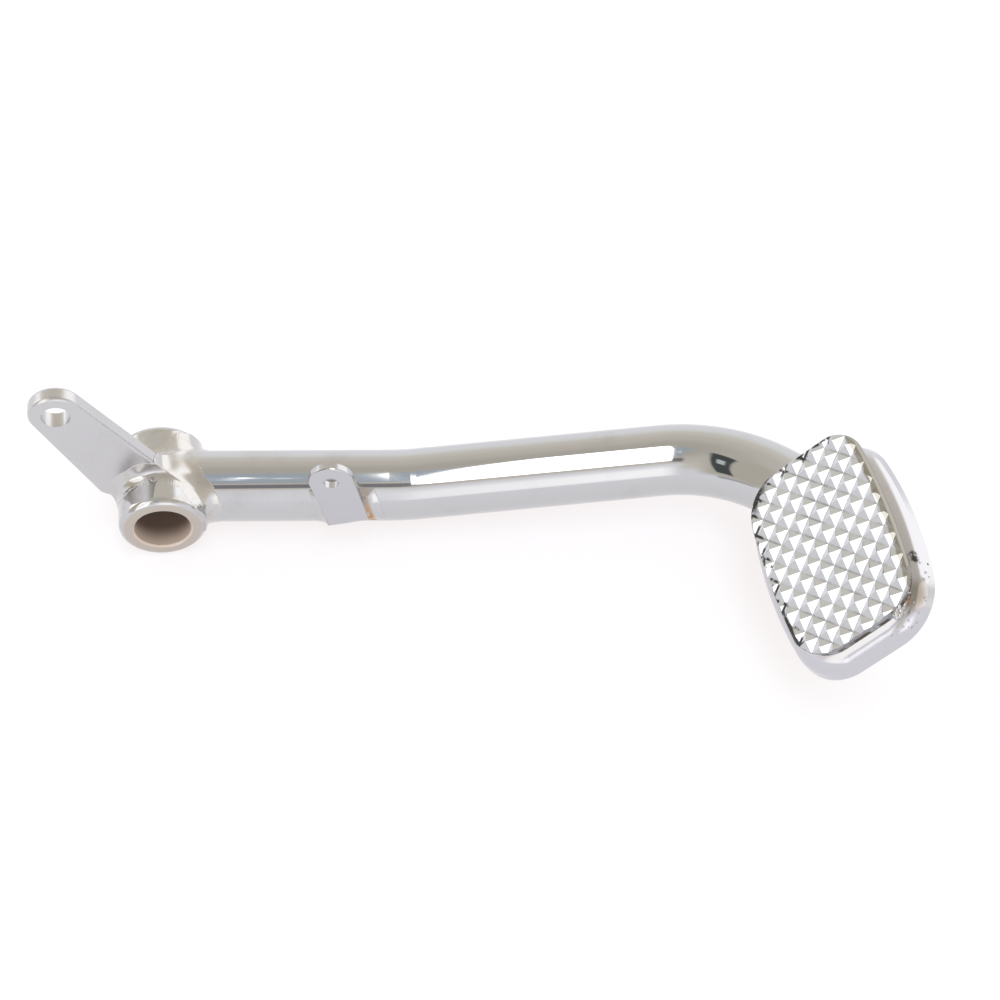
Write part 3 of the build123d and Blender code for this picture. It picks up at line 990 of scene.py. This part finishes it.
for side_name, side in (("front", 1), ("rear", -1)):
    start, middle, end = BEAD_RUN
    bead = grow(
        "pad_bead_" + side_name,
        bead_tree,
        {
            "Paint": rusty_material,
            "Start": seat_point(start, BEAD_SIDE * side, BEAD_DROP),
            "Middle": seat_point(middle, (BEAD_SIDE + BEAD_BULGE) * side, BEAD_DROP),
            "End": seat_point(end, BEAD_SIDE * side, BEAD_DROP),
            "Radius": 1.45 * MM,
            "Steps": 9.0,
            "Step Depth": 0.22,
            "Roughness": 0.45 * MM,
        },
    )
    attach(bead, "root")

# %% [markdown]
# The tack on the tread's corner is a dab of weld: several drops that ran together. Points are scattered in
# a small flat space with a fixed seed, each becomes a drop in a volume, and the volume's skin is the tack.

# %% Tack weld
TACK_INPUTS = (
    ("Paint", PAINT),
    ("Centre", PLACE),
    ("Long", PLACE),
    ("Wide", PLACE),
    ("Normal", PLACE),
    ("Reach Long", VALUE),
    ("Reach Wide", VALUE),
    ("Reach High", VALUE),
    ("Drops", WHOLE),
    ("Drop Radius", VALUE),
    ("Cell", VALUE),
    ("Seed", WHOLE),
)
DROP_SIZES = (0.55, 1.15)


def make_tack_tree():
    tree, given = geometry_tree("run_together_drops", TACK_INPUTS)
    calc = partial(math_node, tree)

    def random(low, high, shift):
        seed = calc("ADD", given["Seed"], shift)
        node = put(tree, "FunctionNodeRandomValue", {"Min": low, "Max": high, "Seed": seed})
        return next(s for s in node.outputs if s.enabled)

    spot = given["Centre"]
    for shift, label in enumerate(("Long", "Wide", "High")):
        axis = given["Normal" if label == "High" else label]
        reach = calc("MULTIPLY", given["Reach " + label], random(-1.0, 1.0, shift))
        spot = vector_node(tree, "ADD", spot, scale_node(tree, axis, reach))
    size = calc("MULTIPLY", given["Drop Radius"], random(*DROP_SIZES, 3))
    drops = put(tree, "GeometryNodePoints", {"Count": given["Drops"], "Position": spot, "Radius": size})
    run = put(
        tree,
        "GeometryNodePointsToVolume",
        {"Points": drops.outputs[0], "Density": 1.0, "Voxel Size": given["Cell"], "Radius": size},
        resolution_mode="VOXEL_SIZE",
    ).outputs[0]
    shape = put(tree, "GeometryNodeVolumeToMesh", {"Volume": run, "Threshold": 0.15}).outputs[0]
    place = put(tree, "GeometryNodeInputPosition").outputs[0]
    rough = calc("SUBTRACT", noise(tree, place, 1500.0, 3.0), 0.5)
    out_from = put(tree, "GeometryNodeInputNormal").outputs["Normal"]
    push = scale_node(tree, out_from, calc("MULTIPLY", rough, given["Cell"]))
    shape = put(tree, "GeometryNodeSetPosition", {"Geometry": shape, "Offset": push}).outputs[0]
    return close_tree(tree, given, shape)


tack_piece = grow(
    "tread_tack_drops",
    make_tack_tree(),
    {
        "Paint": tack_material,
        "Centre": TACK_SPOT,
        "Long": PAD_LONG,
        "Wide": PAD_WIDE,
        "Normal": PAD_NORMAL,
        "Reach Long": 0.9 * MM,
        "Reach Wide": 1.0 * MM,
        "Reach High": 0.5 * MM,
        "Drops": 16,
        "Drop Radius": 0.85 * MM,
        "Cell": 0.12 * MM,
        "Seed": 7,
    },
)
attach(tack_piece, "root")
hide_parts("tread_tack")

# %% [markdown]
# Spatter is what a welding arc throws about: tiny balls stuck to the plate near the tack. They are
# scattered on a copy of the shell, thinner with distance from a spot, and each is a small rough ball.

# %% Spatter
SPATTER_INPUTS = (
    ("Paint", PAINT),
    ("Spot", PLACE),
    ("Reach", VALUE),
    ("Density", VALUE),
    ("Smallest", VALUE),
    ("Largest", VALUE),
    ("Seed", WHOLE),
)


def make_spatter_tree():
    tree, given = geometry_tree("weld_spatter", SPATTER_INPUTS)
    shell_skin = tree.nodes["Group Input"].outputs["Geometry"]
    place = put(tree, "GeometryNodeInputPosition").outputs[0]
    gap = vector_node(tree, "DISTANCE", place, given["Spot"], "Value")
    thinning = {"From Min": 0.0, "From Max": given["Reach"], "To Min": 1.0, "To Max": 0.0}
    share = put(tree, "ShaderNodeMapRange", {"Value": gap, **thinning})
    density = math_node(tree, "MULTIPLY", share.outputs["Result"], given["Density"])
    points = put(
        tree,
        "GeometryNodeDistributePointsOnFaces",
        {"Mesh": shell_skin, "Density": density, "Seed": given["Seed"]},
    )
    size = put(
        tree,
        "FunctionNodeRandomValue",
        {"Min": given["Smallest"], "Max": given["Largest"], "Seed": given["Seed"]},
    )
    ball = put(tree, "GeometryNodeMeshIcoSphere", {"Radius": 1.0, "Subdivisions": 2}).outputs["Mesh"]
    balls = put(
        tree,
        "GeometryNodeInstanceOnPoints",
        {
            "Points": points.outputs["Points"],
            "Instance": ball,
            "Rotation": points.outputs["Rotation"],
            "Scale": next(s for s in size.outputs if s.enabled),
        },
    ).outputs[0]
    return close_tree(tree, given, balls)


def shell_copy():
    mesh = nodes["pad_shell"].data.copy()
    shape = bmesh.new()
    shape.from_mesh(mesh)
    bmesh.ops.remove_doubles(shape, verts=shape.verts, dist=0.001 * MM)
    shape.to_mesh(mesh)
    shape.free()
    mesh.materials.clear()
    return mesh


SPATTER_SPOTS = (
    # name, middle of the spot, seed
    ("spatter_tack", pad_point(28.5, 10.0, -1.8), 3),
    ("spatter_corner", pad_point(22.5, 18.0, -4.0), 11),
)

spatter_tree = make_spatter_tree()
for name, spot, seed in SPATTER_SPOTS:
    spatter = grow(
        name,
        spatter_tree,
        {
            "Paint": tack_material,
            "Spot": spot,
            "Reach": 6.0 * MM,
            "Density": 0.55 / MM**2,
            "Smallest": 0.08 * MM,
            "Largest": 0.42 * MM,
            "Seed": seed,
        },
        shell_copy(),
    )
    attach(spatter, "root")

# %% [markdown]
# A light can be kept for some pieces only. The tread is coined from many small mirrors, and each catches
# a light at its own angle, so a lamp high on the left is kept for it: on the smooth tube the same lamp
# would burn a white patch. Two wide weak ones, on the left and on the right, put a sheen along the
# shell's rims. One on the left clears the dark corner between the boss and the arm, which mirror each
# other. The big soft box overhead draws the long white line on the tube, and the shell, the boss, the arm
# and the welds at the boss and the tab are kept out of it. Each lamp has rounded ends and fades toward its
# edges, so its mirror image has soft borders, and stands far away, so that its image stays put.

# %% Lamps
LAMP_AWAY = 15.0
ROUND_END = 0.08
LAMPS = (
    # name, turn, right, lean, half height, half width, soft share of these, colour
    ("soft_box", 73, 5.45, 0.065, 25, 10.3, 0.05, (3.2, 3.25, 3.3)),
    ("tread_lamp", 76, -29, 0, 21, 21, 0.10, (2.6, 2.6, 2.6)),
    ("shell_lamp", 48, -56, 0, 45, 30, 0.50, (0.88, 0.89, 0.92)),
    ("corner_lamp", 66, 42, 0, 25, 33, 0.30, (0.50, 0.49, 0.47)),
    ("boss_lamp", 47, -38, 0, 40, 18, 0.40, (1.25, 1.23, 1.25)),
)


def make_lamp(lit, name, turn, right, lean, half_high, half_wide, soft, colour):
    data = bpy.data.lights.new(name, "AREA")
    data.shape = "RECTANGLE"
    data.size = 2 * LAMP_AWAY * math.tan(math.radians(half_wide))
    data.size_y = 2 * LAMP_AWAY * math.tan(math.radians(half_high))
    data.energy = math.pi * data.size * data.size_y
    data.color = colour
    data.use_nodes = True
    tree = data.node_tree
    spot = tree.nodes.new("ShaderNodeNewGeometry").outputs["Parametric"]
    off_x, off_y = (
        math_node(tree, "ABSOLUTE", math_node(tree, "SUBTRACT", dot_node(tree, spot, axis), 0.5))
        for axis in ((1, 0, 0), (0, 1, 0))
    )
    corner = math_node(tree, "POWER", math_node(tree, "MULTIPLY", off_y, 2.0), 4.0)
    off_x = math_node(tree, "MULTIPLY_ADD", corner, ROUND_END, off_x)
    masks = [fade_node(tree, off, 0.5 - soft / 2, 0.5, 1.0, 0.0) for off in (off_x, off_y)]
    tree.links.new(math_node(tree, "MULTIPLY", *masks), tree.nodes["Emission"].inputs["Strength"])
    lamp = bpy.data.objects.new(name, data)
    away = room_direction(turn, right)
    level = room_direction(turn, right + 90)
    across = (level - away.cross(level) * lean).normalized()
    lamp.location = (cad_low + cad_high) / 2 + away * LAMP_AWAY
    lamp.rotation_euler = Matrix((across, away.cross(across), away)).transposed().to_euler()
    bpy.context.scene.collection.objects.link(lamp)
    group = bpy.data.collections.new("lit_by_" + name)
    for piece in lit:
        group.objects.link(piece)
    lamp.light_linking.receiver_collection = group


meshes = [item for item in bpy.context.scene.objects if item.type == "MESH"]
boss_end = [nodes["pivot_boss"], nodes["brake_rod_arm"], boss_welds, tab_weld_piece]
lit_by = {
    "soft_box": [item for item in meshes if item not in [nodes["pad_shell"], *boss_end]],
    "tread_lamp": [nodes["tread_plate"]],
    "shell_lamp": [nodes["pad_shell"]],
    "corner_lamp": [nodes["pad_shell"]],
    "boss_lamp": [nodes["brake_rod_arm"], nodes["pivot_boss"], boss_welds],
}
for lamp_values in LAMPS:
    make_lamp(lit_by[lamp_values[0]], *lamp_values)
print("lamps:", [values[0] for values in LAMPS])
